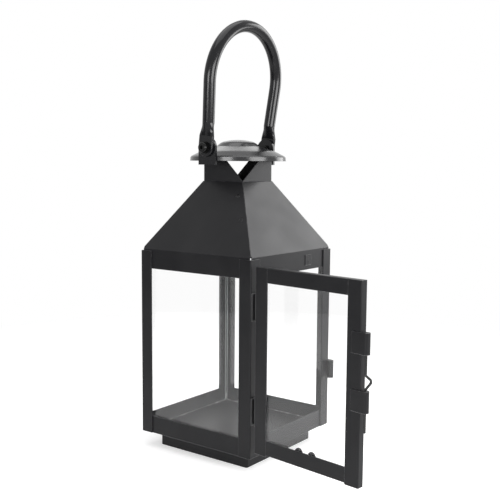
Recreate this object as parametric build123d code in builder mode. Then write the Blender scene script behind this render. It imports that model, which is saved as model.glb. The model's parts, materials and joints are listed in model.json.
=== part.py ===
from build123d import *
import os
from math import acos, atan2, cos, hypot, radians, sin, tan

# Square sheet-metal candle lantern with a glazed body, a latched door, a hipped roof, a vented neck, a round
# cap and a hoop handle.
# The origin is the middle of the plinth's underside. +Z is up, the door side faces -Y, the bolts lie along X.

os.makedirs("parts", exist_ok=True)


def span(x0, y0, x1, y1, mode=Mode.ADD):
    """A rectangle between two corners."""
    with Locations(((x0 + x1) / 2, (y0 + y1) / 2)):
        Rectangle(abs(x1 - x0), abs(y1 - y0), mode=mode)


# ---------------- sizes
# Sheet that most of the lantern is folded from
sheet = 1.2
bend_radius = 1.1

# Plinth
plinth_inset = 15.0
plinth_height = 17.0
plinth_sheet = 1.5
plinth_corner_radius = 2.5

# Tray and corner posts
body_width = 152.0
rail_height = 19.2
floor_thickness = 2.5
post_leg = 15.1
eave_height = 224.0
post_top_gap = 2.0

# Roof and neck
skirt_depth = 21.5
corner_relief = 1.8
relief_rise = 2.0
roof_rise = 74.6
neck_width = 54.6
neck_height = 23.2
neck_lap = 4.6
neck_bend_radius = 2.0
side_vent_width = 23.2
front_vent_width = 30.4

# Cap
cap_rim_radius = 53.2
cap_rim_drop = 1.0
cap_rim_height = 4.0
cap_rim_lean = 0.4
cap_shoulder_width = 1.3
cap_shoulder_height = 1.4
cap_flange_break = 42.0
cap_flange_rise = 4.8
cap_flange_bend = 26.0
cap_crown_rise = 5.8
cap_dome_radius = 24.2
cap_dome_wall = 4.6
cap_dome_lean = 5.7
cap_dome_crown = 2.6
cap_dome_round = 12.0
cap_sheet = 1.2
cap_notch_clearance = 1.0

# Handle bridge, bolts, washers and nuts
lug_bite = 2.0
lug_thickness = 3.0
lug_width = 23.0
lug_lip = 5.3
strap_width = 12.0
strap_thickness = 1.8
bolt_rise = 12.7
bolt_diameter = 6.0
bolt_head_diameter = 11.2
bolt_head_height = 4.2
bolt_head_round = 1.6
bolt_socket_flats = 4.0
bolt_socket_depth = 2.0
bolt_end = 1.2
washer_diameter = 13.0
washer_thickness = 1.2
nut_flats = 9.0
nut_thickness = 3.0
bolt_clearance = 0.08
foot_side_clearance = 0.15

# Handle
handle_lean = 6.3
handle_tube = 13.0
hoop_radius = 58.9
hoop_centre = 73.0
leg_inset = 0.9
leg_start = 26.5
foot_shoulder = 1.0
foot_width = 19.2
foot_thickness = 3.0
foot_edge_radius = 1.2

# Glass
glass_thickness = 2.0
pane_clearance = 0.2
pane_side_gap = 3.1
pane_top_gap = 9.5

# Door
hinge_side_inset = 7.8
hinge_knuckle = 4.4
hinge_post_gap = 0.2
hinge_pin = 2.0
hinge_pin_clearance = 0.06
hinge_leaf = 1.0
hinge_height = 28.0
hinge_inset = 27.6
hinge_knuckle_gap = 0.3
hinge_leaf_width = 7.0
hinge_door_leaf_width = 6.0
door_open_angle = 97.3
door_set_off = 3.6
door_face = 6.7
door_depth = 7.4
door_latch_inset = 10.4
door_bottom = 24.9
door_top_gap = 8.0
stile_width = 15.5
top_rail_width = 14.8
bottom_rail_width = 15.4
bottom_rail_rise = 1.2
door_glass_clearance = 0.3
clip_width = 33.0
clip_height = 10.7
clip_sheet = 1.2
clip_lobe_radius = 4.6
clip_lobe_spacing = 16.4
clip_lobe_rise = 12.3

# Latch
barrel_diameter = 7.2
barrel_height = 20.0
barrel_plate = 1.0
barrel_plate_reach = 10.0
barrel_end_gap = 0.6
barrel_spacing = 33.3
keeper_gap = 2.0
keeper_barrel_bottom = 74.2
keeper_plate_width = 11.0
latch_wire = 2.4
latch_clearance = 0.08
latch_top_inset = 1.0
latch_keeper_inset = 3.3
finger_loop_out = 5.8
finger_loop_low = 7.2
finger_loop_flat = 2.6
finger_loop_high = 3.2
finger_loop_bend = 1.7
latch_rest_gap = 0.1

# Spot-welded tab on the front skirt
tab_width = 11.5
tab_height = 11.5
tab_thickness = 0.6
tab_x = 30.0
tab_skirt_inset = 5.0
weld_dot = 1.8
weld_dot_height = 0.5
weld_dot_taper = 35.0
weld_dot_spacing = 4.4

# ---------------- shared places
body_half = body_width / 2
frame_half = body_half - sheet
rail_inner = frame_half - sheet
plinth_width = body_width - 2 * plinth_inset
tray_bottom = plinth_height
floor_top = tray_bottom + floor_thickness
post_height = eave_height - post_top_gap - tray_bottom
neck_half = neck_width / 2
neck_base_height = eave_height + roof_rise
neck_top_height = neck_base_height + neck_height
bolt_height = neck_top_height + bolt_rise
roof_slope = atan2(roof_rise, frame_half - neck_half)
skirt_bottom = eave_height - skirt_depth
cap_base = neck_top_height - cap_rim_drop
cap_rim_top = cap_base + cap_rim_height
cap_shoulder_radius = cap_rim_radius - cap_rim_lean - cap_shoulder_width
cap_break_height = cap_rim_top + cap_shoulder_height + cap_flange_rise
cap_dome_base = cap_break_height + cap_crown_rise
lug_reach = cap_rim_radius - lug_bite
lug_outer = lug_reach + lug_thickness
foot_inner = lug_outer + foot_side_clearance
foot_outer = foot_inner + foot_thickness
foot_middle = (foot_inner + foot_outer) / 2
foot_length = lug_width / 2 + foot_shoulder
leg_reach = foot_middle - leg_inset
washer_inner = foot_outer + foot_side_clearance
head_inner = washer_inner + washer_thickness
bolt_tip = lug_reach - nut_thickness - bolt_end
bolt_hole_radius = bolt_diameter / 2 + bolt_clearance
hinge_radius = hinge_knuckle / 2
hinge_bore = hinge_pin / 2 + hinge_pin_clearance
hinge_x = hinge_side_inset - body_half
hinge_y = -body_half - hinge_post_gap - hinge_radius
post_face = hinge_radius + hinge_post_gap
door_top = eave_height - door_top_gap
hinge_bottoms = (door_bottom + hinge_inset, door_top - hinge_inset - hinge_height)
knuckle_height = (hinge_height - 2 * hinge_knuckle_gap) / 3
door_end = body_half - door_latch_inset - hinge_x
face_y = -door_face
back_y = door_depth - door_face
door_glass_front = face_y + sheet
door_glass_back = door_glass_front + glass_thickness
door_glass_bottom = door_bottom + bottom_rail_rise + sheet
barrel_radius = barrel_diameter / 2
barrel_x = door_end + barrel_end_gap + barrel_radius
barrel_y = face_y - barrel_plate + barrel_radius
latch_bore = latch_wire / 2 + latch_clearance
lower_barrel_bottom = keeper_barrel_bottom + barrel_height + keeper_gap
upper_barrel_bottom = lower_barrel_bottom + barrel_height + barrel_spacing
latch_bottom = keeper_barrel_bottom + latch_keeper_inset

# Pieces on the hinge line are drawn from it, and the door's own are drawn closed and turned open about it.
hinge_frame = Plane(origin=(hinge_x, hinge_y, 0))
door_frame = hinge_frame.rotated((0, 0, -door_open_angle))
clip_plane = Plane(
    origin=door_frame.from_local_coords(((door_set_off + door_end) / 2, door_glass_back, door_glass_bottom)),
    x_dir=door_frame.x_dir,
    z_dir=-door_frame.y_dir,
)
latch_plane = Plane(
    origin=door_frame.from_local_coords((barrel_x, barrel_y, 0)),
    x_dir=door_frame.x_dir,
    z_dir=-door_frame.y_dir,
)
tab_plane = Plane(
    origin=(tab_x, -frame_half, skirt_bottom + tab_skirt_inset + tab_height / 2),
    x_dir=(1, 0, 0),
    z_dir=(0, -1, 0),
)

# The handle's own plane leans about the bolts: its x runs along them and its y up the handle.
lean = radians(handle_lean)
handle_up = Vector(0, -sin(lean), cos(lean))
handle_frame = Plane(origin=(0, 0, bolt_height), x_dir=(1, 0, 0), z_dir=Vector(1, 0, 0).cross(handle_up))
foot_frame = Plane(origin=(foot_inner, 0, bolt_height), x_dir=handle_up, z_dir=(1, 0, 0))
foot_head = handle_frame.from_local_coords((foot_middle, foot_length, 0))

# Each leg is tangent to the hoop.
leg_angle = atan2(leg_start - hoop_centre, leg_reach)
tangent_angle = leg_angle + acos(hoop_radius / hypot(leg_reach, hoop_centre - leg_start))
hoop_tangent = (hoop_radius * cos(tangent_angle), hoop_centre + hoop_radius * sin(tangent_angle))
middle_angle = (tangent_angle + radians(90)) / 2
hoop_middle = (hoop_radius * cos(middle_angle), hoop_centre + hoop_radius * sin(middle_angle))
leg_foot = handle_frame.from_local_coords((leg_reach, leg_start, 0))
leg_head = handle_frame.from_local_coords((*hoop_tangent, 0))


def side_plane(turn):
    """An upright plane across one side: its x points outward and its y up."""
    outward = Vector(cos(radians(turn)), sin(radians(turn)), 0)
    return Plane(origin=(0, 0, 0), x_dir=outward, z_dir=outward.cross(Vector(0, 0, 1)))


def bolt_plane(turn, distance):
    """A plane square to one bolt: its x points up and its z outward."""
    outward = Vector(cos(radians(turn)), sin(radians(turn)), 0)
    return Plane(origin=outward * distance + Vector(0, 0, bolt_height), x_dir=(0, 0, 1), z_dir=outward)


# ---------------- plinth and tray
with BuildPart() as base_plinth:
    with BuildSketch():
        RectangleRounded(plinth_width, plinth_width, plinth_corner_radius)
    extrude(amount=plinth_height)
    with BuildSketch(Plane.XY.offset(plinth_sheet)):
        inner_width = plinth_width - 2 * plinth_sheet
        RectangleRounded(inner_width, inner_width, plinth_corner_radius - plinth_sheet)
    extrude(amount=plinth_height, mode=Mode.SUBTRACT)
base_plinth.part.label = "base_plinth"
export_step(base_plinth.part, "parts/base_plinth.step")

with BuildPart() as base_tray:
    with BuildSketch(Plane.XY.offset(tray_bottom)):
        Rectangle(2 * frame_half, 2 * frame_half)
    extrude(amount=rail_height)
    with BuildSketch(Plane.XY.offset(floor_top)):
        Rectangle(2 * rail_inner, 2 * rail_inner)
    extrude(amount=rail_height, mode=Mode.SUBTRACT)
base_tray.part.label = "base_tray"
export_step(base_tray.part, "parts/base_tray.step")

# ---------------- corner posts, folded angles outside the rails
post_turns = {"post_rear_right": 0, "post_rear_left": 90, "post_hinge_side": 180, "post_latch_side": 270}
for post_name, turn in post_turns.items():
    with BuildPart() as post:
        with BuildSketch(Plane.XY.offset(tray_bottom).rotated((0, 0, turn))) as angle:
            span(body_half - post_leg, body_half - post_leg, body_half, body_half)
            span(0, 0, frame_half, frame_half, mode=Mode.SUBTRACT)
            bend = angle.vertices().sort_by(lambda corner: corner.X + corner.Y)[-1]
            fillet(bend, bend_radius)
        extrude(amount=post_height)
    post.part.label = post_name
    export_step(post.part, f"parts/{post_name}.step")

# ---------------- roof panels, each with its folded skirt
panel_turns = {"roof_panel_right": 0, "roof_panel_rear": 90, "roof_panel_left": 180, "roof_panel_front": 270}
slope_drop = sheet / cos(roof_slope)
inner_fold = eave_height + sheet * tan(roof_slope) - slope_drop
for panel_name, turn in panel_turns.items():
    with BuildPart() as panel:
        with BuildSketch(side_plane(turn)):
            with BuildLine():
                Polyline(
                    (frame_half, skirt_bottom),
                    (frame_half, eave_height),
                    (neck_half, neck_base_height),
                    (neck_half, neck_base_height - slope_drop),
                    (rail_inner, inner_fold),
                    (rail_inner, skirt_bottom),
                    close=True,
                )
            make_face()
        extrude(amount=frame_half, both=True)
        # The hips are mitred: only what lies in this side's quarter stays.
        with BuildSketch(Plane.XY.offset(skirt_bottom).rotated((0, 0, turn))):
            with BuildLine():
                Polyline((0, 0), (body_width, -body_width), (body_width, body_width), close=True)
            make_face()
        extrude(amount=neck_base_height - skirt_bottom, mode=Mode.INTERSECT)
        # The fold is relieved at both corners.
        with BuildSketch(Plane.XY.offset(skirt_bottom).rotated((0, 0, turn))):
            for side in (-1, 1):
                span(0, side * (frame_half - corner_relief), body_width, side * body_width)
        extrude(amount=skirt_depth + relief_rise, mode=Mode.SUBTRACT)
    panel.part.label = panel_name
    export_step(panel.part, f"parts/{panel_name}.step")

# ---------------- neck halves with sloping ends for the V vents
for neck_name, turn in {"neck_right": 0, "neck_left": 180}.items():
    with BuildPart() as neck:
        with BuildSketch(Plane.XY.offset(neck_base_height - neck_lap).rotated((0, 0, turn))) as ring:
            Rectangle(neck_width, neck_width)
            bend = ring.vertices().sort_by(lambda corner: corner.X - corner.Y)[-1]
            fillet(bend, neck_bend_radius)
            offset(amount=-sheet, mode=Mode.SUBTRACT)
            # Only the two walls beside the bend stay, mitred at their far ends.
            with BuildLine():
                Polyline(
                    (neck_half, neck_half),
                    (-neck_half, -neck_half),
                    (-neck_half, neck_half),
                    close=True,
                )
            make_face(mode=Mode.SUBTRACT)
        extrude(amount=neck_top_height - neck_base_height + neck_lap)
        # Each sloping end starts at its corner and runs up and away from it, past the top of the wall.
        for wall_turn, corner, run in (
            (turn, -neck_half, front_vent_width),
            (turn + 90, neck_half, -side_vent_width),
        ):
            with BuildSketch(side_plane(wall_turn)):
                with BuildLine():
                    Polyline(
                        (corner, neck_base_height),
                        (corner + 2 * run, neck_top_height + neck_height),
                        (corner - run, neck_top_height + neck_height),
                        (corner - run, neck_base_height),
                        close=True,
                    )
                make_face()
            extrude(amount=neck_width, mode=Mode.SUBTRACT)
    neck.part.label = neck_name
    export_step(neck.part, f"parts/{neck_name}.step")

# ---------------- cap, a spun shell notched for the handle's lugs
with BuildPart() as cap:
    for inset, use in ((0, Mode.ADD), (cap_sheet, Mode.SUBTRACT)):
        with BuildSketch(Plane.YZ) as profile:
            with BuildLine():
                flange_break = (cap_flange_break - inset, cap_break_height - inset)
                dome_edge = (cap_dome_radius - cap_dome_lean - inset, cap_dome_base + cap_dome_wall - inset)
                dome_top = (0, cap_dome_base + cap_dome_wall + cap_dome_crown - inset)
                Polyline(
                    dome_top,
                    (0, cap_base),
                    (cap_rim_radius - inset, cap_base),
                    (cap_rim_radius - cap_rim_lean - inset, cap_rim_top - inset),
                    (cap_shoulder_radius - inset, cap_rim_top + cap_shoulder_height - inset),
                    flange_break,
                    (cap_dome_radius - inset, cap_dome_base - inset),
                    dome_edge,
                )
                TangentArc(dome_top, dome_edge, tangent=(1, 0))
            make_face()
            if use == Mode.ADD:
                # The outside is spun round at the flange's bend and at the dome's edge.
                fillet(profile.vertices().sort_by_distance(flange_break)[0], cap_flange_bend)
                fillet(profile.vertices().sort_by_distance(dome_edge)[0], cap_dome_round)
        revolve(axis=Axis.Z, mode=use)
    with BuildSketch(Plane.XY.offset(cap_base)):
        for side in (-1, 1):
            notch = lug_width / 2 + cap_notch_clearance
            span(side * lug_reach, -notch, side * 2 * lug_reach, notch)
    extrude(amount=lug_width, mode=Mode.SUBTRACT)
cap.part.label = "cap"
export_step(cap.part, "parts/cap.step")

# ---------------- handle bridge: a strap with an upright lug at each end
with BuildPart() as handle_bridge:
    with BuildSketch(Plane.XY.offset(neck_top_height)):
        Rectangle(2 * lug_reach, strap_width)
    extrude(amount=strap_thickness)
    for turn in (0, 180):
        with BuildSketch(bolt_plane(turn, lug_reach)):
            Circle(lug_width / 2)
            span(-bolt_rise - lug_lip, -lug_width / 2, 0, lug_width / 2)
            Circle(bolt_hole_radius, mode=Mode.SUBTRACT)
        extrude(amount=lug_thickness)
handle_bridge.part.label = "handle_bridge"
export_step(handle_bridge.part, "parts/handle_bridge.step")

# ---------------- bolts, washers and nuts that the handle turns on
with BuildPart() as handle_bolts:
    for turn in (0, 180):
        with BuildSketch(bolt_plane(turn, bolt_tip)):
            Circle(bolt_diameter / 2)
        extrude(amount=head_inner - bolt_tip)
        with BuildSketch(bolt_plane(turn, head_inner)):
            Circle(bolt_head_diameter / 2)
        extrude(amount=bolt_head_height)
    circles = handle_bolts.edges().filter_by(GeomType.CIRCLE)
    fillet(circles.group_by(lambda edge: abs(edge.center().X))[-1], bolt_head_round)
    for turn in (0, 180):
        with BuildSketch(bolt_plane(turn, head_inner + bolt_head_height - bolt_socket_depth)):
            RegularPolygon(bolt_socket_flats / 2, 6, major_radius=False)
        extrude(amount=bolt_socket_depth, mode=Mode.SUBTRACT)
handle_bolts.part.label = "handle_bolts"
export_step(handle_bolts.part, "parts/handle_bolts.step")

with BuildPart() as handle_washers:
    for turn in (0, 180):
        with BuildSketch(bolt_plane(turn, washer_inner)):
            Circle(washer_diameter / 2)
            Circle(bolt_hole_radius, mode=Mode.SUBTRACT)
        extrude(amount=washer_thickness)
handle_washers.part.label = "handle_washers"
export_step(handle_washers.part, "parts/handle_washers.step")

with BuildPart() as handle_nuts:
    for turn in (0, 180):
        with BuildSketch(bolt_plane(turn, lug_reach - nut_thickness)):
            RegularPolygon(nut_flats / 2, 6, major_radius=False, rotation=30)
            Circle(bolt_hole_radius, mode=Mode.SUBTRACT)
        extrude(amount=nut_thickness)
handle_nuts.part.label = "handle_nuts"
export_step(handle_nuts.part, "parts/handle_nuts.step")

# ---------------- handle: a tube hoop with flattened, pierced feet
with BuildPart() as handle:
    # The flat foot turns on the bolt and has a round end.
    with BuildSketch(foot_frame):
        Circle(foot_width / 2)
        span(0, -foot_width / 2, foot_length, foot_width / 2)
    extrude(amount=foot_thickness)
    foot_edges = handle.faces().filter_by(Axis.X).edges()
    fillet(foot_edges.sort_by(Axis((0, 0, bolt_height), handle_up))[:-2], foot_edge_radius)
    with BuildSketch(foot_frame):
        Circle(bolt_hole_radius)
    extrude(amount=foot_thickness, mode=Mode.SUBTRACT)
    # The tube is pressed flat between the leg and the foot.
    with BuildSketch(Plane(foot_head, x_dir=(1, 0, 0), z_dir=handle_up)):
        RectangleRounded(foot_thickness, foot_width, foot_edge_radius)
    with BuildSketch(Plane(leg_foot, x_dir=(1, 0, 0), z_dir=leg_head - leg_foot)):
        Circle(handle_tube / 2)
    loft()
    with BuildLine(handle_frame) as hoop:
        Line((leg_reach, leg_start), hoop_tangent)
        ThreePointArc(hoop_tangent, hoop_middle, (0, hoop_centre + hoop_radius))
    with BuildSketch(Plane(leg_foot, x_dir=(1, 0, 0), z_dir=leg_head - leg_foot)):
        Circle(handle_tube / 2)
    sweep(path=hoop.wires()[0])
    mirror(about=Plane.YZ)
handle.part.label = "handle"
export_step(handle.part, "parts/handle.step")

# ---------------- fixed glass panes, standing in the tray
for pane_name, turn in {"glass_right": 0, "glass_rear": 90, "glass_left": 180}.items():
    with BuildPart() as pane:
        with BuildSketch(Plane.XY.offset(floor_top).rotated((0, 0, turn))):
            pane_outer = rail_inner - pane_clearance
            pane_half = rail_inner - pane_side_gap
            span(pane_outer - glass_thickness, -pane_half, pane_outer, pane_half)
        extrude(amount=eave_height - pane_top_gap - floor_top)
    pane.part.label = pane_name
    export_step(pane.part, f"parts/{pane_name}.step")

# ---------------- hinges: leaves on the post, leaves on the door, pins
with BuildPart() as hinge_post_leaves:
    for bottom in hinge_bottoms:
        with BuildSketch(hinge_frame.offset(bottom)):
            span(-hinge_leaf_width, post_face - hinge_leaf, 0, post_face)
            Circle(hinge_radius)
        extrude(amount=hinge_height)
        with BuildSketch(hinge_frame.offset(bottom + knuckle_height)):
            Circle(hinge_radius + hinge_knuckle_gap)
        extrude(amount=hinge_height - 2 * knuckle_height, mode=Mode.SUBTRACT)
        with BuildSketch(hinge_frame.offset(bottom)):
            Circle(hinge_bore)
        extrude(amount=hinge_height, mode=Mode.SUBTRACT)
hinge_post_leaves.part.label = "hinge_post_leaves"
export_step(hinge_post_leaves.part, "parts/hinge_post_leaves.step")

with BuildPart() as hinge_door_leaves:
    for bottom in hinge_bottoms:
        with BuildSketch(door_frame.offset(bottom)):
            span(door_set_off - hinge_leaf, -hinge_door_leaf_width, door_set_off, back_y)
        extrude(amount=hinge_height)
        with BuildSketch(door_frame.offset(bottom + knuckle_height + hinge_knuckle_gap)):
            Circle(hinge_radius)
            span(0, -hinge_radius, door_set_off, hinge_leaf - hinge_radius)
            Circle(hinge_bore, mode=Mode.SUBTRACT)
        extrude(amount=hinge_height - 2 * (knuckle_height + hinge_knuckle_gap))
hinge_door_leaves.part.label = "hinge_door_leaves"
export_step(hinge_door_leaves.part, "parts/hinge_door_leaves.step")

with BuildPart() as hinge_pins:
    for bottom in hinge_bottoms:
        with BuildSketch(hinge_frame.offset(bottom)):
            Circle(hinge_pin / 2)
        extrude(amount=hinge_height)
hinge_pins.part.label = "hinge_pins"
export_step(hinge_pins.part, "parts/hinge_pins.step")

# ---------------- door frame, folded angles round the glass
door_stiles = {
    "door_stile_hinge": (door_set_off, 1),
    "door_stile_latch": (door_end, -1),
}
for stile_name, (edge_x, inward) in door_stiles.items():
    with BuildPart() as stile:
        with BuildSketch(door_frame.offset(door_bottom)) as angle:
            span(edge_x, face_y, edge_x + inward * stile_width, back_y)
            inside = edge_x + inward * sheet
            span(inside, door_glass_front, inside + inward * door_end, door_depth, mode=Mode.SUBTRACT)
            bend = angle.vertices().sort_by(lambda corner: corner.Y + inward * corner.X)[0]
            fillet(bend, bend_radius)
        extrude(amount=door_top - door_bottom)
    stile.part.label = stile_name
    export_step(stile.part, f"parts/{stile_name}.step")

door_rails = {
    "door_rail_top": (door_top, -1, top_rail_width),
    "door_rail_bottom": (door_bottom + bottom_rail_rise, 1, bottom_rail_width),
}
for rail_name, (edge_z, inward, rail_width) in door_rails.items():
    with BuildPart() as rail:
        with BuildSketch(door_frame.offset(edge_z)):
            span(door_set_off + stile_width, face_y, door_end - stile_width, face_y + sheet)
        extrude(amount=inward * rail_width)
        with BuildSketch(door_frame.offset(edge_z)):
            span(door_set_off + stile_width, face_y, door_end - stile_width, back_y)
            span(door_set_off + sheet, face_y + sheet, door_end - sheet, back_y)
        extrude(amount=inward * sheet)
        along = rail.edges().filter_by(Axis(door_frame.origin, door_frame.x_dir))
        outer_edges = along.group_by(lambda edge: abs(edge.center().Z - edge_z))[0]
        fillet(outer_edges.sort_by(Axis(door_frame.origin, door_frame.y_dir))[0], bend_radius)
    rail.part.label = rail_name
    export_step(rail.part, f"parts/{rail_name}.step")

with BuildPart() as door_glass:
    glass_edge = sheet + door_glass_clearance
    with BuildSketch(door_frame.offset(door_glass_bottom)):
        span(door_set_off + glass_edge, door_glass_front, door_end - glass_edge, door_glass_back)
    extrude(amount=door_top - glass_edge - door_glass_bottom)
door_glass.part.label = "door_glass"
export_step(door_glass.part, "parts/door_glass.step")

with BuildPart() as door_glass_clip:
    with BuildSketch(clip_plane):
        span(-clip_width / 2, 0, clip_width / 2, clip_height)
        with Locations((-clip_lobe_spacing / 2, clip_lobe_rise), (clip_lobe_spacing / 2, clip_lobe_rise)):
            Circle(clip_lobe_radius)
    extrude(amount=-clip_sheet)
door_glass_clip.part.label = "door_glass_clip"
export_step(door_glass_clip.part, "parts/door_glass_clip.step")

# ---------------- latch: two barrels on the door, a keeper on the post, a pin
for barrel_name, bottom in {
    "latch_barrel_upper": upper_barrel_bottom,
    "latch_barrel_lower": lower_barrel_bottom,
}.items():
    with BuildPart() as barrel:
        with BuildSketch(door_frame.offset(bottom)):
            span(door_end - barrel_plate_reach, face_y - barrel_plate, barrel_x, face_y)
            with Locations((barrel_x, barrel_y)):
                Circle(barrel_radius)
                Circle(latch_bore, mode=Mode.SUBTRACT)
        extrude(amount=barrel_height)
    barrel.part.label = barrel_name
    export_step(barrel.part, f"parts/{barrel_name}.step")

with BuildPart() as latch_keeper:
    with BuildSketch(hinge_frame.offset(keeper_barrel_bottom)):
        keeper_side = barrel_x + barrel_radius
        span(keeper_side - keeper_plate_width, post_face - barrel_plate, keeper_side, post_face)
        span(keeper_side - barrel_plate, barrel_y, keeper_side, post_face)
        with Locations((barrel_x, barrel_y)):
            Circle(barrel_radius)
            Circle(latch_bore, mode=Mode.SUBTRACT)
    extrude(amount=barrel_height)
latch_keeper.part.label = "latch_keeper"
export_step(latch_keeper.part, "parts/latch_keeper.step")

loop_bottom = lower_barrel_bottom + barrel_height + latch_rest_gap + latch_wire / 2
with BuildPart() as latch_pin:
    with BuildLine(latch_plane) as wire:
        FilletPolyline(
            (0, latch_bottom),
            (0, loop_bottom),
            (finger_loop_out, loop_bottom + finger_loop_low),
            (finger_loop_out, loop_bottom + finger_loop_low + finger_loop_flat),
            (0, loop_bottom + finger_loop_low + finger_loop_flat + finger_loop_high),
            (0, upper_barrel_bottom + barrel_height - latch_top_inset),
            radius=finger_loop_bend,
        )
    with BuildSketch(Plane(wire.line @ 0, z_dir=wire.line % 0)):
        Circle(latch_wire / 2)
    sweep(path=wire.line)
latch_pin.part.label = "latch_pin"
export_step(latch_pin.part, "parts/latch_pin.step")

# ---------------- spot-welded tab on the front skirt
with BuildPart() as header_tab:
    with BuildSketch(tab_plane):
        Rectangle(tab_width, tab_height)
    extrude(amount=tab_thickness)
    with BuildSketch(tab_plane.offset(tab_thickness)):
        with GridLocations(0, weld_dot_spacing, 1, 2):
            Circle(weld_dot / 2)
    extrude(amount=weld_dot_height, taper=weld_dot_taper)
header_tab.part.label = "header_tab"
export_step(header_tab.part, "parts/header_tab.step")
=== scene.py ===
import json
import math

import bmesh
import bpy
from mathutils import Matrix, Vector, noise
from mathutils.bvhtree import BVHTree


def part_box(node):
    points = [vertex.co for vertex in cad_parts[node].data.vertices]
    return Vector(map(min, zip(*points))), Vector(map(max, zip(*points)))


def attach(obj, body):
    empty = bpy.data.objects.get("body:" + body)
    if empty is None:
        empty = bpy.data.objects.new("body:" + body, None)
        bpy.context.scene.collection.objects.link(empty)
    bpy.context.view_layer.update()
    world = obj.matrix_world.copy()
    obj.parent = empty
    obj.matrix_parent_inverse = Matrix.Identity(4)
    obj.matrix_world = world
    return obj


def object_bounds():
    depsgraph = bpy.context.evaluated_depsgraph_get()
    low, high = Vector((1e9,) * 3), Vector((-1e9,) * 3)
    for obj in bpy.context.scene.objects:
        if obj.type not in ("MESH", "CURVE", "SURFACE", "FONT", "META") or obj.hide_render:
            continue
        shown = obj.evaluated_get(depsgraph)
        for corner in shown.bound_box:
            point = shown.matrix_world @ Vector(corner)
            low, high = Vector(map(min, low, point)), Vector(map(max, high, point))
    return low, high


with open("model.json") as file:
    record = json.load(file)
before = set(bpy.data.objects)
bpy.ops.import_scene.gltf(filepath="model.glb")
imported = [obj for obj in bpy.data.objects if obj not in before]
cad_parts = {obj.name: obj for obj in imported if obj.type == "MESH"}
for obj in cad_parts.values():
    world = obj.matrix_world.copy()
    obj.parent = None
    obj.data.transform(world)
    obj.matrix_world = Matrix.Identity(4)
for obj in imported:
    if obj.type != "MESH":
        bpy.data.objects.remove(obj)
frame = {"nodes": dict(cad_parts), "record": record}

CAD_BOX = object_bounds()
NODES = frame["nodes"]
MM = 0.001

# ---------------------------------------------------------------- camera
CAMERA_PLACE = Vector((-0.7238, -0.5588, 0.3182))
CAMERA_AZIMUTH = math.radians(-53.21)
CAMERA_PITCH = math.radians(6.05)
CAMERA_ROLL = math.radians(0.43)
CAMERA_NEAR, CAMERA_FAR = 0.01, 50.0
# Both in mm, as on a real camera.
SENSOR_WIDTH = 36.0
LENS = 58.84


def make_camera():
    data = bpy.data.cameras.new("camera")
    data.sensor_width = SENSOR_WIDTH
    data.lens = LENS
    data.clip_start = CAMERA_NEAR
    data.clip_end = CAMERA_FAR
    forward = Vector((
        -math.sin(CAMERA_AZIMUTH) * math.cos(CAMERA_PITCH),
        math.cos(CAMERA_AZIMUTH) * math.cos(CAMERA_PITCH),
        -math.sin(CAMERA_PITCH),
    ))
    level = forward.cross(Vector((0, 0, 1))).normalized()
    above = level.cross(forward)
    right = level * math.cos(CAMERA_ROLL) + above * math.sin(CAMERA_ROLL)
    up = above * math.cos(CAMERA_ROLL) - level * math.sin(CAMERA_ROLL)
    camera = bpy.data.objects.new("camera", data)
    turn = Matrix((right, up, -forward)).transposed()
    camera.matrix_world = Matrix.Translation(CAMERA_PLACE) @ turn.to_4x4()
    bpy.context.scene.collection.objects.link(camera)
    bpy.context.scene.camera = camera


# ---------------------------------------------------------------- materials
# A noise is given as the size of its patches and its detail; most of its values lie in NOISE_MIDDLE.
NOISE_MIDDLE = (0.35, 0.65)
WHOLE = (0, 1)

# Edges: the radius they are seen with, and the rounded normal's dot product with the face's own, from a
# sharp edge to a plain face.
EDGE_RADIUS = 0.6 * MM
EDGE_SAMPLES = 6
EDGE_AGREEMENT = (0.8, 0.995)
# The Z of a rounded normal, from an edge that faces well down to one that hardly does.
FACING_DOWN = (-0.6, -0.1)

# Paint. The share of painted edge highlight and wear, and the change of roughness, are each a lowest and
# a highest value.
PAINT_IOR = 1.5
PAINT_CLOUDS = (0.05, 4.0)
PAINT_SHEEN = (0.035, 5.0)
SHEEN_CHANGE = (-0.03, 0.04)
ORANGE_PEEL = (1.4 * MM, 2.0)
PEEL_STRENGTH = 0.5
HIGHLIGHT_AND_WEAR_SPOTS = (0.007, 3.0)
HIGHLIGHT_AND_WEAR_SHARE = (0.1, 0.8)
# The paler edge colour: painted edge highlight mixed with wear.
EDGE_HIGHLIGHT_AND_WEAR = (0.14, 0.14, 0.145)
# Painted highlight on edges that face down, standing in for light they catch from the floor.
DOWN_EDGE_HIGHLIGHT = (0.30, 0.30, 0.305)

# Glass. Its faces are clear and its edges ground; a thin film lies on parts of the faces.
GLASS_IOR = 1.42
GLASS_CLEAR = (1.0, 1.0, 1.0)
GLASS_FILM = (0.05, 4.0)
FILM_SPOTS = (0.5, 0.8)
FILM_ROUGHNESS = 0.03
GLASS_WAVES = (0.09, 1.0)
WAVE_HEIGHT = 0.02 * MM
WAVE_STRENGTH = 0.3
GROUND_LIGHT = (0.28, 0.31, 0.30)
GROUND_TRANSMISSION = 0.35
GROUND_ROUGHNESS = 0.45
# How squarely a spot looks along the pane's facing, from ground edge to clear face.
GROUND_LIMIT = (0.45, 0.55)
# Degrees from the door closed to the photograph's open door, at which it rests.
DOOR_OPEN_ANGLE = 97.3

HINGE_NODES = ("hinge_pins", "hinge_post_leaves", "hinge_door_leaves")


def add_node(nodes, kind, **values):
    node = nodes.new(kind)
    for key, value in values.items():
        setattr(node, key, value)
    return node


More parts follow.
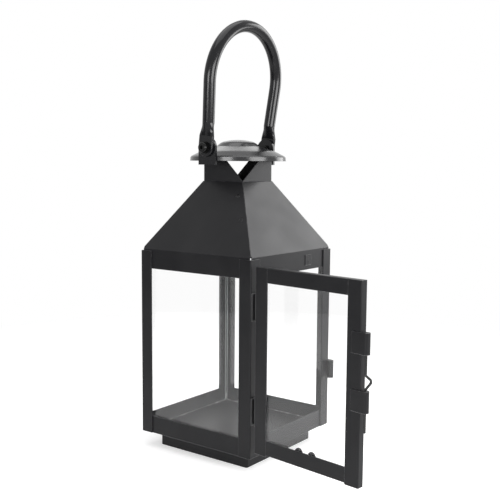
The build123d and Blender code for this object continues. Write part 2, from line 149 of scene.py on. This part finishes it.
class Shader:
    """A material with a Principled shader, and short calls to add nodes to it."""

    def __init__(self, name):
        self.material = bpy.data.materials.new(name)
        self.material.use_nodes = True
        self.nodes = self.material.node_tree.nodes
        self.links = self.material.node_tree.links
        self.principled = self.nodes["Principled BSDF"]
        self.place = self.add("ShaderNodeTexCoord").outputs["Object"]

    def add(self, kind, **values):
        return add_node(self.nodes, kind, **values)

    def link(self, start, end):
        self.links.new(start, end)

    def set(self, **values):
        """Sets the Principled shader's own sockets, with _ for each space in a name."""
        for key, value in values.items():
            self.principled.inputs[key.replace("_", " ")].default_value = value

    def feed(self, socket, value):
        """Links a value to one of the Principled shader's sockets."""
        self.link(value, self.principled.inputs[socket])

    def show(self, shader):
        """Puts a shader on the surface in place of the Principled one."""
        self.link(shader, self.nodes["Material Output"].inputs["Surface"])

    def noise(self, size, detail):
        """Noise whose patches are about size across, as a value from 0 to 1."""
        texture = self.add("ShaderNodeTexNoise")
        texture.inputs["Scale"].default_value = 1 / size
        texture.inputs["Detail"].default_value = detail
        self.link(self.place, texture.inputs["Vector"])
        return texture.outputs["Fac"]

    def spread(self, value, low, high, at=NOISE_MIDDLE):
        """Maps a value that goes from at[0] to at[1] onto low..high."""
        node = self.add("ShaderNodeMapRange")
        node.inputs["From Min"].default_value = at[0]
        node.inputs["From Max"].default_value = at[1]
        node.inputs["To Min"].default_value = low
        node.inputs["To Max"].default_value = high
        self.link(value, node.inputs["Value"])
        return node.outputs["Result"]

    def compute(self, operation, *values):
        """One Math node on one or two values."""
        node = self.add("ShaderNodeMath", operation=operation)
        for index, value in enumerate(values):
            self.link(value, node.inputs[index])
        return node.outputs["Value"]

    def dot(self, first, second):
        """The dot product of a direction with another one or with a fixed tuple."""
        node = self.add("ShaderNodeVectorMath", operation="DOT_PRODUCT")
        self.link(first, node.inputs[0])
        if isinstance(second, tuple):
            node.inputs[1].default_value = second
        else:
            self.link(second, node.inputs[1])
        return node.outputs["Value"]

    def mix(self, factor, first, second):
        """The first colour where factor is 0, the second where it is 1; each a tuple or a socket."""
        node = self.add("ShaderNodeMix", data_type="RGBA")
        self.link(factor, node.inputs["Factor"])
        for value, slot in ((first, "A"), (second, "B")):
            socket = [s for s in node.inputs if s.name == slot and s.type == "RGBA"][0]
            if isinstance(value, tuple):
                socket.default_value = (*value, 1)
            else:
                self.link(value, socket)
        return [s for s in node.outputs if s.type == "RGBA"][0]

    def bump(self, height, distance, strength, under=None):
        """A normal raised by height, over the normal under where one is given."""
        node = self.add("ShaderNodeBump")
        node.inputs["Distance"].default_value = distance
        node.inputs["Strength"].default_value = strength
        self.link(height, node.inputs["Height"])
        if under is not None:
            self.link(under, node.inputs["Normal"])
        return node.outputs["Normal"]

    def edge(self, radius):
        """1 along the piece's sharp edges and 0 on its faces, and the rounded normal."""
        bevel = self.add("ShaderNodeBevel", samples=EDGE_SAMPLES)
        bevel.inputs["Radius"].default_value = radius
        rounded = bevel.outputs["Normal"]
        agreement = self.dot(rounded, self.add("ShaderNodeNewGeometry").outputs["Normal"])
        return self.spread(agreement, 1.0, 0.0, at=EDGE_AGREEMENT), rounded


def paint(name, dark, light, rough, peel, level, highlight_and_wear_colour=None):
    """Black paint with fine orange peel and a slightly cloudy sheen.

    Given an edge colour, its edges are painted paler as painted edge highlight mixed with wear, and edges
    that face down get a paler painted highlight, as if lit from the floor.
    """
    coat = Shader(name)
    colour = coat.mix(coat.spread(coat.noise(*PAINT_CLOUDS), 0.0, 1.0), dark, light)
    rounded = None
    # Painted edge highlight mixed with wear: the edges, spotted by noise, take the paler edge colour.
    if highlight_and_wear_colour:
        edge, rounded = coat.edge(EDGE_RADIUS)
        highlight_wear_amount = coat.spread(coat.noise(*HIGHLIGHT_AND_WEAR_SPOTS), *HIGHLIGHT_AND_WEAR_SHARE)
        colour = coat.mix(coat.compute("MULTIPLY", edge, highlight_wear_amount), colour, highlight_and_wear_colour)
        # Painted highlight: edges that face down are made paler, as if lit from the floor below.
        apart = coat.add("ShaderNodeSeparateXYZ")
        coat.link(rounded, apart.inputs[0])
        down = coat.spread(apart.outputs["Z"], 1.0, 0.0, at=FACING_DOWN)
        colour = coat.mix(coat.compute("MULTIPLY", edge, down), colour, DOWN_EDGE_HIGHLIGHT)
    coat.feed("Base Color", colour)
    smoothest, roughest = rough + SHEEN_CHANGE[0], rough + SHEEN_CHANGE[1]
    coat.feed("Roughness", coat.spread(coat.noise(*PAINT_SHEEN), smoothest, roughest))
    coat.feed("Normal", coat.bump(coat.noise(*ORANGE_PEEL), peel, PEEL_STRENGTH, rounded))
    coat.set(IOR=PAINT_IOR, Specular_IOR_Level=level)
    return coat.material


def clear_glass(name, facing):
    """Clear glass with a ground edge all round; its faces look along facing when at rest."""
    glass = Shader(name)
    # The normal is the object's own, so that the faces stay clear in every pose.
    own_normal = glass.add("ShaderNodeTexCoord").outputs["Normal"]
    squareness = glass.compute("ABSOLUTE", glass.dot(own_normal, facing))
    ground = glass.spread(squareness, 1.0, 0.0, at=GROUND_LIMIT)
    glass.feed("Base Color", glass.mix(ground, GLASS_CLEAR, GROUND_LIGHT))
    glass.feed("Transmission Weight", glass.spread(ground, 1.0, GROUND_TRANSMISSION, at=WHOLE))
    film = glass.spread(glass.noise(*GLASS_FILM), 0.0, FILM_ROUGHNESS, at=FILM_SPOTS)
    edge = glass.spread(ground, 0.0, GROUND_ROUGHNESS, at=WHOLE)
    glass.feed("Roughness", glass.compute("MAXIMUM", film, edge))
    glass.feed("Normal", glass.bump(glass.noise(*GLASS_WAVES), WAVE_HEIGHT, WAVE_STRENGTH))
    glass.set(IOR=GLASS_IOR)
    return glass.material


def make_coats():
    """The paint of each of the record's painted slots."""
    return {
        "body_paint": paint(
            "body", dark=(0.007, 0.007, 0.008), light=(0.010, 0.010, 0.011),
            rough=0.38, peel=0.004 * MM, level=0.20, highlight_and_wear_colour=EDGE_HIGHLIGHT_AND_WEAR,
        ),
        "cap_paint": paint(
            "cap", dark=(0.007, 0.007, 0.008), light=(0.010, 0.010, 0.011),
            rough=0.20, peel=0.001 * MM, level=0.46,
        ),
        "handle_paint": paint(
            "handle", dark=(0.004, 0.004, 0.005), light=(0.007, 0.007, 0.008),
            rough=0.15, peel=0.001 * MM, level=0.26,
        ),
        "fastener_finish": paint(
            "bolt", dark=(0.002, 0.002, 0.002), light=(0.004, 0.004, 0.004),
            rough=0.10, peel=0.001 * MM, level=0.22,
        ),
        "hardware_paint": paint(
            "fitting", dark=(0.006, 0.006, 0.007), light=(0.010, 0.010, 0.011),
            rough=0.32, peel=0.003 * MM, level=0.22, highlight_and_wear_colour=EDGE_HIGHLIGHT_AND_WEAR,
        ),
        "wire_finish": paint(
            "wire", dark=(0.008, 0.008, 0.008), light=(0.013, 0.013, 0.013),
            rough=0.22, peel=0.001 * MM, level=0.4,
        ),
    }


def dress(node, material):
    """Gives a CAD node one material all over."""
    for slot in NODES[node].material_slots:
        slot.link = "OBJECT"
        slot.material = material


def dress_all():
    coats = make_coats()
    for entry in frame["record"]["subparts"]:
        if entry["material_slot"] in coats:
            dress(entry["node"], coats[entry["material_slot"]])
    # The hinges sit in a dark gap; their paint is made paler there as painted light that lifts the gap's
    # shade.
    hinge_paint_painted_lighter = paint(
        "hinge", dark=(0.020, 0.020, 0.021), light=(0.034, 0.034, 0.035),
        rough=0.35, peel=0.003 * MM, level=0.4, highlight_and_wear_colour=EDGE_HIGHLIGHT_AND_WEAR,
    )
    for node in HINGE_NODES:
        dress(node, hinge_paint_painted_lighter)
    turn = math.radians(DOOR_OPEN_ANGLE)
    panes = {
        "glass_left": (1, 0, 0),
        "glass_right": (1, 0, 0),
        "glass_rear": (0, 1, 0),
        "door_glass": (-math.sin(turn), -math.cos(turn), 0),
    }
    for node, facing in panes.items():
        dress(node, clear_glass(node + "_clear", facing))
        NODES[node].visible_shadow = False
    hip_welds(coats["body_paint"])
    pane_sealant()


# ---------------------------------------------------------------- welds on the roof, sealant at the panes
# Half the length, width and height of a weld.
WELD_SIZE = Vector((2.7, 2.2, 0.8)) * MM
# Each weld's height on the lantern and its distance from the hip, in mm.
HIP_WELDS = ((283.5, 8.2), (259.0, 7.4), (230.0, 5.0))
# The roof panels that have them, and the turn that takes the left one to each.
WELDED_SIDES = (("roof_panel_left", 0.0), ("roof_panel_right", math.pi))
# How uneven a weld is, how fine its lumps are, and the scale that keeps two welds from being alike.
WELD_UNEVENNESS = 0.22
WELD_LUMPS = 1.7
WELD_NOISE_GAP = 400

SEALANT_RADIUS = 0.6 * MM
SEALANT_STEP = 2.0 * MM
SEALANT_SIDES = 8
# How far it lies above the foot of the glass, starts from its front edge, and climbs the rear corners.
SEALANT_LIFT = 0.4 * MM
SEALANT_SETBACK = 8 * MM
SEALANT_CLIMB = 9 * MM
# Where the noise is below SEALANT_BREAK, only SEALANT_THREAD of the radius is left.
SEALANT_BREAK = -0.05
SEALANT_THREAD = 0.12
# Where a bead reads the noise: the gap from bead to bead, from step to step, and the row.
BEAD_NOISE_GAP, STEP_NOISE_GAP, NOISE_ROW = 7.3, 0.31, 0.5
PASTE_DARK = (0.05, 0.05, 0.05)
PASTE_LIGHT = (0.24, 0.24, 0.235)
PASTE_ROUGHNESS = 0.55
PASTE_CLOUDS = (0.006, 3.0)
PASTE_GRAIN = (0.0015, 2.0)
PASTE_GRAIN_HEIGHT = 0.05 * MM
PASTE_GRAIN_STRENGTH = 0.6


def surface(node):
    """A CAD node's mesh, to find the nearest spot on."""
    mesh = NODES[node].data
    corners = [vertex.co for vertex in mesh.vertices]
    return BVHTree.FromPolygons(corners, [tuple(face.vertices) for face in mesh.polygons])


def add_piece(name, form, material):
    """Makes a smooth piece of the lantern's body from a bmesh, and frees the bmesh."""
    mesh = bpy.data.meshes.new(name)
    form.to_mesh(mesh)
    form.free()
    mesh.polygons.foreach_set("use_smooth", [True] * len(mesh.polygons))
    mesh.materials.append(material)
    part = bpy.data.objects.new(name, mesh)
    bpy.context.scene.collection.objects.link(part)
    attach(part, "lantern_body")


def hip_welds(material):
    """Small flattened lumps of weld beside two of the roof's hips."""
    form = bmesh.new()
    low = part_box("roof_panel_left")[0][0]
    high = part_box("neck_left")[0][0]
    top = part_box("roof_panel_left")[1][2]
    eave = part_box("post_hinge_side")[1][2]
    for side, angle in WELDED_SIDES:
        roof = surface(side)
        turn = Matrix.Rotation(angle, 3, "Z")
        for height, inset in HIP_WELDS:
            x = low + (high - low) * (height * MM - eave) / (top - eave)
            spot, normal = roof.find_nearest(turn @ Vector((x, x + inset * MM, height * MM)))[:2]
            tilt = normal.to_track_quat("Z", "Y").to_matrix()
            lump = bmesh.ops.create_icosphere(form, subdivisions=3, radius=1.0)["verts"]
            for vertex in lump:
                rise = noise.noise(vertex.co * WELD_LUMPS + spot * WELD_NOISE_GAP)
                rough = 1 + WELD_UNEVENNESS * rise
                vertex.co = spot + tilt @ (vertex.co * rough * WELD_SIZE)
    add_piece("hip_welds", form, material)


def bead(form, start, end, seed):
    """A thin uneven string of sealant from start to end, with thin ends and a few breaks."""
    along = end - start
    count = max(3, round(along.length / SEALANT_STEP))
    side = along.orthogonal().normalized()
    other = along.normalized().cross(side)
    ring_before = None
    for step in range(count + 1):
        spot = start + along * step / count
        swell = noise.noise(Vector((seed * BEAD_NOISE_GAP, step * STEP_NOISE_GAP, NOISE_ROW)))
        if swell < SEALANT_BREAK or step in (0, count):
            radius = SEALANT_THREAD * SEALANT_RADIUS
        else:
            radius = SEALANT_RADIUS * (1 + swell)
        ring = []
        for corner in range(SEALANT_SIDES):
            angle = corner * math.tau / SEALANT_SIDES
            outward = side * math.cos(angle) + other * math.sin(angle)
            ring.append(form.verts.new(spot + outward * radius))
        if ring_before:
            for corner in range(SEALANT_SIDES):
                after = (corner + 1) % SEALANT_SIDES
                form.faces.new((ring_before[corner], ring_before[after], ring[after], ring[corner]))
        else:
            form.faces.new(ring[::-1])
        ring_before = ring
    form.faces.new(ring_before)


def pane_sealant():
    """Pale sealant along the foot of the three fixed panes and up the two rear corners."""
    paste = Shader("sealant_paste")
    tone = paste.spread(paste.noise(*PASTE_CLOUDS), 0.0, 1.0)
    paste.feed("Base Color", paste.mix(tone, PASTE_DARK, PASTE_LIGHT))
    grain = paste.bump(paste.noise(*PASTE_GRAIN), PASTE_GRAIN_HEIGHT, PASTE_GRAIN_STRENGTH)
    paste.feed("Normal", grain)
    paste.set(Roughness=PASTE_ROUGHNESS)
    left, rear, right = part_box("glass_left"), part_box("glass_rear"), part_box("glass_right")
    foot = left[0][2] + SEALANT_LIFT
    west, east, north = left[1][0], right[0][0], rear[0][1]
    south = left[0][1] + SEALANT_SETBACK
    upper = foot + SEALANT_CLIMB
    runs = (
        ((west, south, foot), (west, north, foot)),
        ((west, north, foot), (east, north, foot)),
        ((east, north, foot), (east, south, foot)),
        ((west, north, foot), (west, north, upper)),
        ((east, north, foot), (east, north, upper)),
    )
    form = bmesh.new()
    for seed, (start, end) in enumerate(runs, start=1):
        bead(form, Vector(start), Vector(end), seed)
    add_piece("pane_sealant", form, paste.material)


# ---------------------------------------------------------------- floor, world and lights
WHITE = (1, 1, 1, 1)
# The rays that show the white background itself: straight, in gloss and through glass.
BACKGROUND_RAYS = ("Is Camera Ray", "Is Glossy Ray", "Is Transmission Ray")
WORLD_LIGHT = 0.4

FLOOR_HALF = 6.0
FLOOR_COLOUR = (0.80, 0.80, 0.80, 1)
FLOOR_ROUGHNESS = 0.9
FLOOR_GLOW = 0.42
# How far from the lantern's middle the floor begins and ends to run into the background.
FLOOR_FADE = (0.25, 0.8)

# A stage card; its azimuth is in degrees from +X towards +Y.
ROOM_AZIMUTH = 143.0
ROOM_DISTANCE = 0.93
ROOM_SIZE = (1.0, 0.30)
ROOM_LIGHT = 0.2
ROOM_CLOUDS = (0.4, 2.0)
ROOM_DARK = (0.9, 0.9, 0.92)
ROOM_PALE = (1.0, 1.0, 1.0)

SOFTBOX_REACH = 1.15
# Each lamp's name, azimuth from +X towards +Y and elevation in degrees, width and height, and brightness.
SOFTBOXES = (
    ("window_right", 338, 18, (0.6, 0.9), 5.0),
    ("window_front", 264, 8, (0.8, 0.4), 11.0),
    ("window_left", 192, 8, (0.5, 0.4), 11.0),
    ("rear_strip", 38, 34, (0.5, 0.28), 1.05),
    ("overhead", 218, 85, (1.1, 1.1), 2.0),
)


def background_seen(nodes, links):
    """1 for the rays that show the background itself, else 0."""
    path = add_node(nodes, "ShaderNodeLightPath")
    either = path.outputs[BACKGROUND_RAYS[0]]
    for ray in BACKGROUND_RAYS[1:]:
        step = add_node(nodes, "ShaderNodeMath", operation="MAXIMUM")
        links.new(either, step.inputs[0])
        links.new(path.outputs[ray], step.inputs[1])
        either = step.outputs[0]
    return either


def make_floor():
    mesh = bpy.data.meshes.new("floor")
    corners = [(x * FLOOR_HALF, y * FLOOR_HALF, 0) for x, y in ((-1, -1), (1, -1), (1, 1), (-1, 1))]
    mesh.from_pydata(corners, [], [(0, 1, 2, 3)])
    floor = bpy.data.objects.new("floor", mesh)
    bpy.context.scene.collection.objects.link(floor)
    ground = Shader("floor_paint")
    ground.set(Base_Color=FLOOR_COLOUR, Roughness=FLOOR_ROUGHNESS, Specular_IOR_Level=0.0)
    ground.set(Emission_Color=WHITE)
    seen = background_seen(ground.nodes, ground.links)
    ground.feed("Emission Strength", ground.spread(seen, 0.0, FLOOR_GLOW, at=WHOLE))
    # Away from the lantern the floor runs into the white background.
    away = ground.add("ShaderNodeVectorMath", operation="LENGTH")
    ground.link(ground.place, away.inputs[0])
    distance = ground.spread(away.outputs["Value"], 0.0, 1.0, at=FLOOR_FADE)
    blend = ground.add("ShaderNodeMixShader")
    ground.link(ground.compute("MULTIPLY", distance, seen), blend.inputs[0])
    ground.link(ground.principled.outputs[0], blend.inputs[1])
    ground.link(ground.add("ShaderNodeEmission").outputs[0], blend.inputs[2])
    ground.show(blend.outputs[0])
    mesh.materials.append(ground.material)


def make_world():
    """A white world that gives less light than it shows."""
    world = bpy.data.worlds.new("studio")
    bpy.context.scene.world = world
    world.use_nodes = True
    nodes, links = world.node_tree.nodes, world.node_tree.links
    background = nodes["Background"]
    background.inputs["Color"].default_value = WHITE
    strength = add_node(nodes, "ShaderNodeMapRange")
    strength.inputs["To Min"].default_value = WORLD_LIGHT
    strength.inputs["To Max"].default_value = 1.0
    links.new(background_seen(nodes, links), strength.inputs["Value"])
    links.new(strength.outputs["Result"], background.inputs["Strength"])


def make_room():
    """The darker room past the table's far edge, which only reflections show."""
    turn = math.radians(ROOM_AZIMUTH)
    outward = Vector((math.cos(turn), math.sin(turn), 0))
    sideways = Vector((-math.sin(turn), math.cos(turn), 0))
    width, height = ROOM_SIZE
    corners = [
        outward * ROOM_DISTANCE + sideways * width * side / 2 + Vector((0, 0, height * level))
        for side, level in ((1, 0), (-1, 0), (-1, 1), (1, 1))
    ]
    mesh = bpy.data.meshes.new("room")
    mesh.from_pydata(corners, [], [(0, 1, 2, 3)])
    room = bpy.data.objects.new("room", mesh)
    bpy.context.scene.collection.objects.link(room)
    wall = Shader("room_wall")
    glow = wall.add("ShaderNodeEmission")
    glow.inputs["Strength"].default_value = ROOM_LIGHT
    tone = wall.spread(wall.noise(*ROOM_CLOUDS), 0.0, 1.0)
    wall.link(wall.mix(tone, ROOM_DARK, ROOM_PALE), glow.inputs["Color"])
    wall.show(glow.outputs[0])
    mesh.materials.append(wall.material)
    room.visible_camera = False
    room.visible_transmission = False
    room.visible_diffuse = False
    room.visible_shadow = False


def softbox(name, azimuth, elevation, size, glow):
    """A rectangular lamp that faces the lantern's middle, and that the camera and glass don't show."""
    middle = Vector((0, 0, (CAD_BOX[0][2] + CAD_BOX[1][2]) / 2))
    turn, rise = math.radians(azimuth), math.radians(elevation)
    outward = Vector((math.cos(turn) * math.cos(rise), math.sin(turn) * math.cos(rise), math.sin(rise)))
    data = bpy.data.lights.new(name, "AREA")
    data.shape = "RECTANGLE"
    data.size, data.size_y = size
    data.energy = glow * math.pi * size[0] * size[1]
    lamp = bpy.data.objects.new(name, data)
    lamp.location = middle + outward * SOFTBOX_REACH
    lamp.rotation_mode = "QUATERNION"
    lamp.rotation_quaternion = (-outward).to_track_quat("-Z", "Y")
    lamp.visible_camera = False
    lamp.visible_transmission = False
    bpy.context.scene.collection.objects.link(lamp)


bpy.context.scene.view_settings.view_transform = "Standard"
make_camera()
dress_all()
make_floor()
make_world()
make_room()
for settings in SOFTBOXES:
    softbox(*settings)
